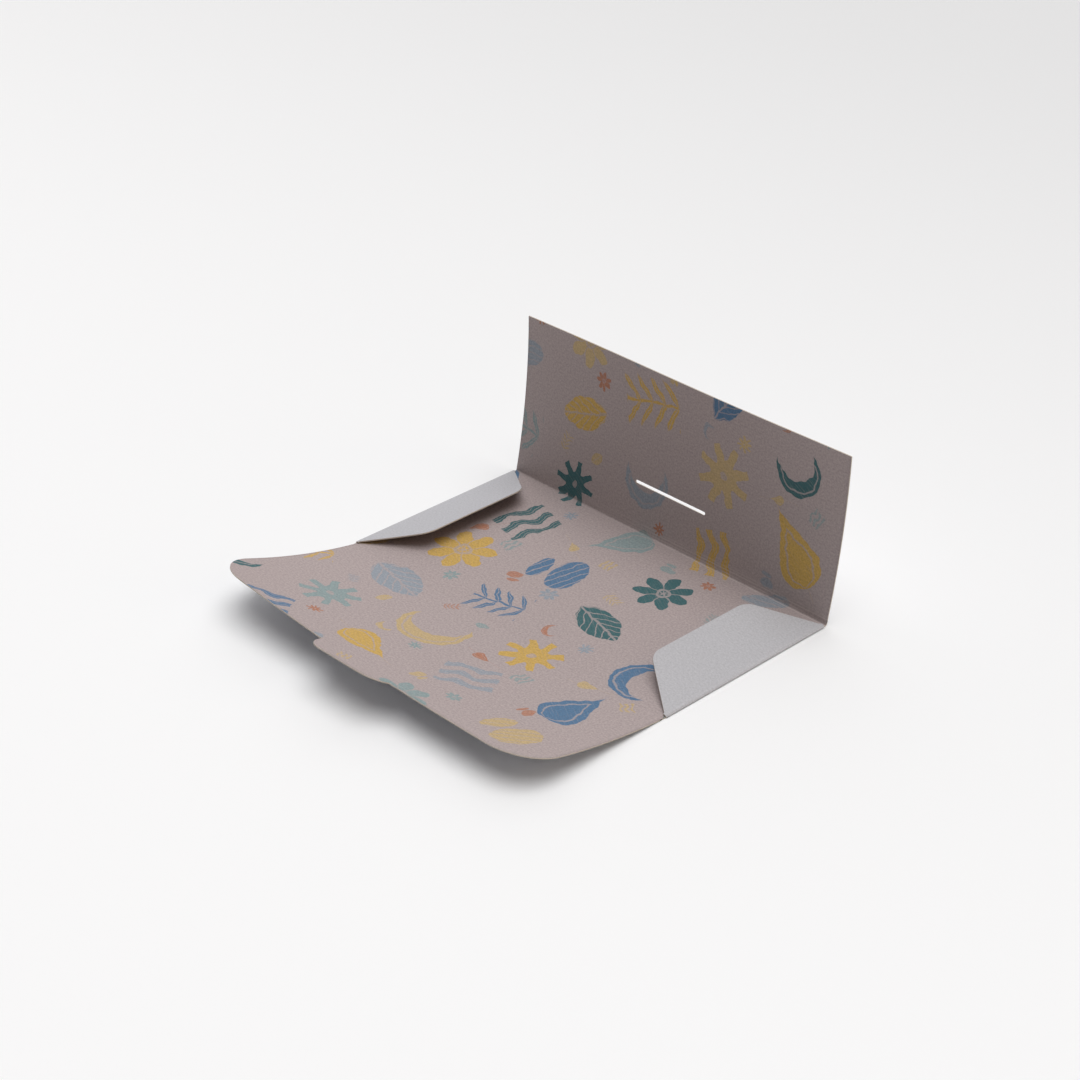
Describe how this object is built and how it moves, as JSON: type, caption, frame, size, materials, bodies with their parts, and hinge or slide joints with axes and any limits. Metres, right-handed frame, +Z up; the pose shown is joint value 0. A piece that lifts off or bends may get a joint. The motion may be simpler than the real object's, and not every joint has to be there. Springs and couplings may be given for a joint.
{
  "type": "gift card holder",
  "caption": "Open folding gift card holder of printed card stock: base panel, slotted cover, two inward side flaps and a closure flap with a tuck tongue, joined by creases.",
  "frame": {"origin": "centre of the base panel's underside, where the holder rests", "axes": "+Z up from the surface it rests on; +X along the front and back creases, to the right as seen from the closure flap; +Y from the front crease to the back crease, where the cover stands"},
  "size_m": [0.1086, 0.1096, 0.0441],
  "materials": {
    "printed_card": "matte",
    "plain_card": "matte",
    "scored_card": "matte"
  },
  "bodies": {
    "base": {"base_panel": "printed_card", "back_crease": "scored_card", "front_crease": "scored_card", "left_crease": "scored_card", "right_crease": "scored_card"},
    "cover": {"cover_panel": "printed_card"},
    "closure": {"closure_flap": "printed_card"},
    "left_flap": {"left_side_flap": "plain_card"},
    "right_flap": {"right_side_flap": "plain_card"}
  },
  "joints": [
    {"name": "cover_fold", "type": "hinge", "parent": "base", "child": "cover", "pos_m": [0, 0.02825, 0.00051], "axis": [1, 0, 0], "range_deg": [-78, 80]},
    {"name": "closure_fold", "type": "hinge", "parent": "base", "child": "closure", "pos_m": [0, -0.02825, 0.00051], "axis": [-1, 0, 0], "range_deg": [-5, 120]},
    {"name": "left_flap_fold", "type": "hinge", "parent": "base", "child": "left_flap", "pos_m": [-0.054, 0, 0.00033], "axis": [0, 1, 0], "range_deg": [-165, 15]},
    {"name": "right_flap_fold", "type": "hinge", "parent": "base", "child": "right_flap", "pos_m": [0.054, 0, 0.00033], "axis": [0, -1, 0], "range_deg": [-165, 15]}
  ]
}
